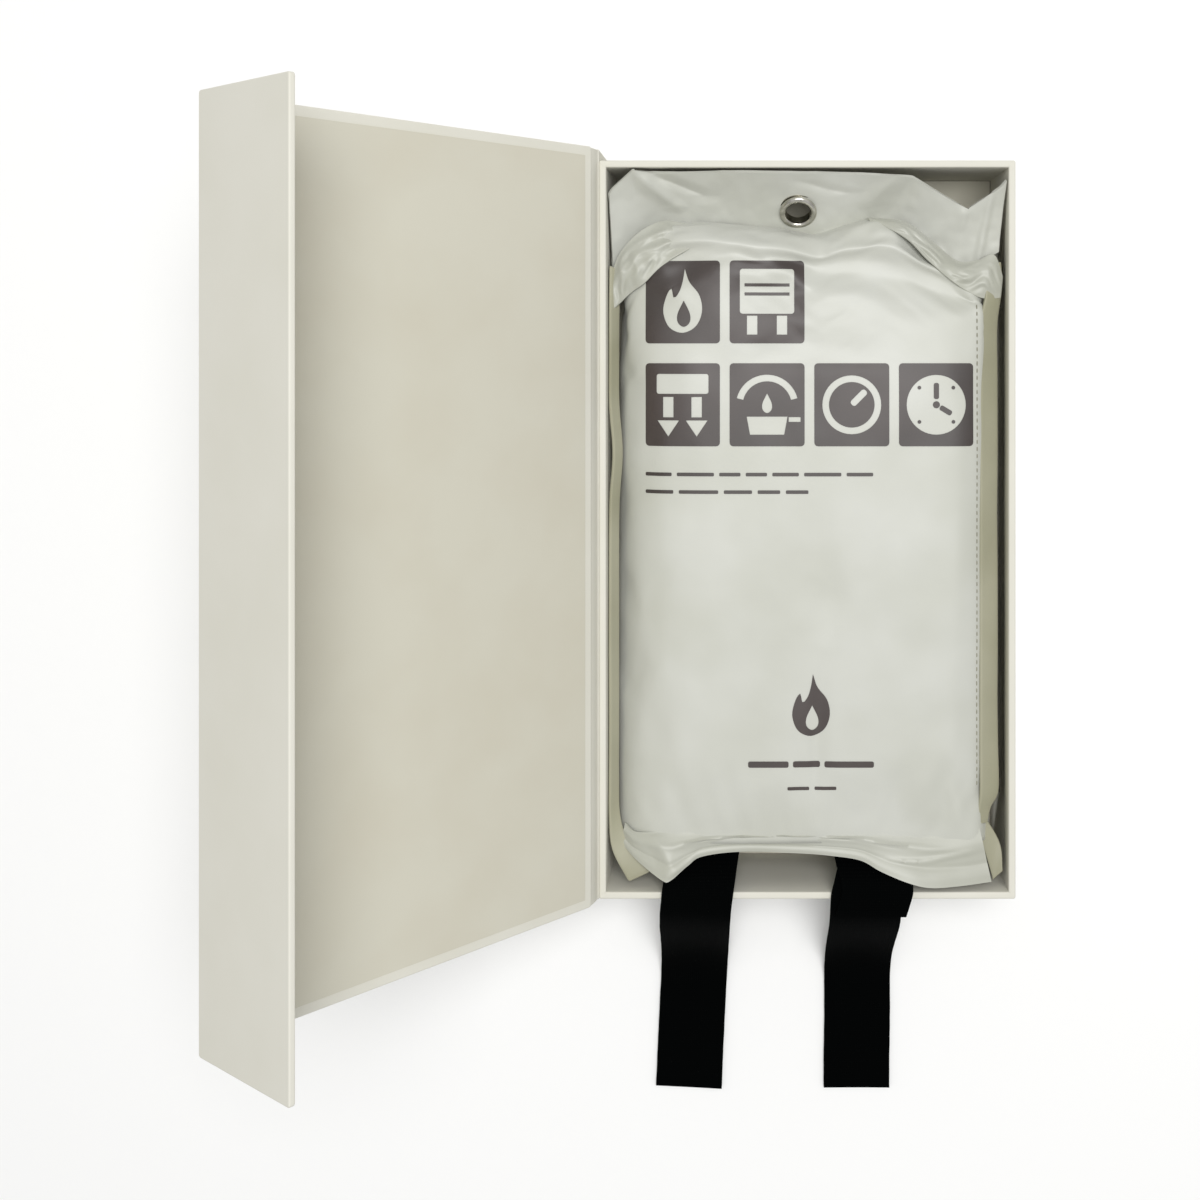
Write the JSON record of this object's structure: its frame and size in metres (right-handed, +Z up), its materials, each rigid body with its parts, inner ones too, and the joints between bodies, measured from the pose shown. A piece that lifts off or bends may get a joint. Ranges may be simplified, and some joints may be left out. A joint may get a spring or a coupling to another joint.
{
  "type": "fire blanket",
  "caption": "Fire blanket folded in a padded pouch with two pull tabs, kept in a paper-wrapped case with a hinged lid and a magnetic closing flap.",
  "frame": {"origin": "on the floor, under the middle of the case's back", "axes": "+Z up out of the tray, +X from the spine towards the closing flap's side, +Y from the pouch's mouth towards its header"},
  "size_m": [0.2934, 0.4223, 0.2323],
  "materials": {
    "cover_paper": "matt cream wrapping paper with a fine tooth",
    "liner_paper": "matt cream lining paper, a little warmer",
    "greyboard": "raw grey recycled board",
    "kraft_tape": "brown gummed kraft tape",
    "steel_disc": "plain stamped steel, dull",
    "magnet": "nickel-plated magnet, bright",
    "pouch_cloth": "coated satin cloth, soft sheen",
    "eyelet_nickel": "nickel-plated pressed brass, bright",
    "blanket_cloth": "woven glass-fibre cloth, matt",
    "webbing": "black woven webbing, matt"
  },
  "bodies": {
    "case": {"back_board": "greyboard", "back_cover_paper": "cover_paper", "spine_board": "greyboard", "spine_cover_paper": "cover_paper", "tray_floor_board": "greyboard", "tray_left_wall_board": "greyboard", "tray_right_wall_board": "greyboard", "tray_header_wall_board": "greyboard", "tray_mouth_wall_board": "greyboard", "tray_wrap_paper": "cover_paper", "tray_floor_liner_paper": "liner_paper", "corner_stay_header_left": "kraft_tape", "corner_stay_header_right": "kraft_tape", "corner_stay_mouth_left": "kraft_tape", "corner_stay_mouth_right": "kraft_tape", "steel_disc_upper": "steel_disc", "steel_disc_lower": "steel_disc"},
    "lid": {"lid_board": "greyboard", "lid_cover_paper": "cover_paper", "lid_liner_paper": "liner_paper"},
    "flap": {"flap_board": "greyboard", "flap_cover_paper": "cover_paper", "flap_liner_paper": "liner_paper", "flap_magnet_upper": "magnet", "flap_magnet_lower": "magnet"},
    "pouch": {"pouch_front_panel": "pouch_cloth", "pouch_back_panel": "pouch_cloth", "pouch_header": "pouch_cloth", "header_binding": "pouch_cloth", "side_binding_left": "pouch_cloth", "side_binding_right": "pouch_cloth", "mouth_hem": "pouch_cloth", "eyelet": "eyelet_nickel", "eyelet_washer": "eyelet_nickel", "folded_blanket": "blanket_cloth", "left_tab_root": "webbing", "right_tab_root": "webbing"},
    "left_tab_run": {"left_tab": "webbing"},
    "right_tab_run": {"right_tab": "webbing", "right_tab_doubler": "webbing"}
  },
  "joints": [
    {"name": "lid_hinge", "type": "hinge", "parent": "case", "child": "lid", "pos_m": [-0.08915, 0, 0.05945], "axis": [0, -1, 0], "range_deg": [-130.5, 62.5]},
    {"name": "flap_crease", "type": "hinge", "parent": "lid", "child": "flap", "pos_m": [-0.20553, 0, 0.19572], "axis": [0, -1, 0], "range_deg": [0, 90]},
    {"name": "pouch_lift", "type": "slide", "parent": "case", "child": "pouch", "axis": [0, 0, 1], "range_m": [0, 0.1]},
    {"name": "left_tab_swing", "type": "hinge", "parent": "pouch", "child": "left_tab_run", "pos_m": [-0.046, -0.1402, 0.0445], "axis": [-0.9986, 0.0523, 0], "range_deg": [0, 45]},
    {"name": "right_tab_swing", "type": "hinge", "parent": "pouch", "child": "right_tab_run", "pos_m": [0.0245, -0.1402, 0.0445], "axis": [-1, 0, 0], "range_deg": [0, 45]}
  ]
}
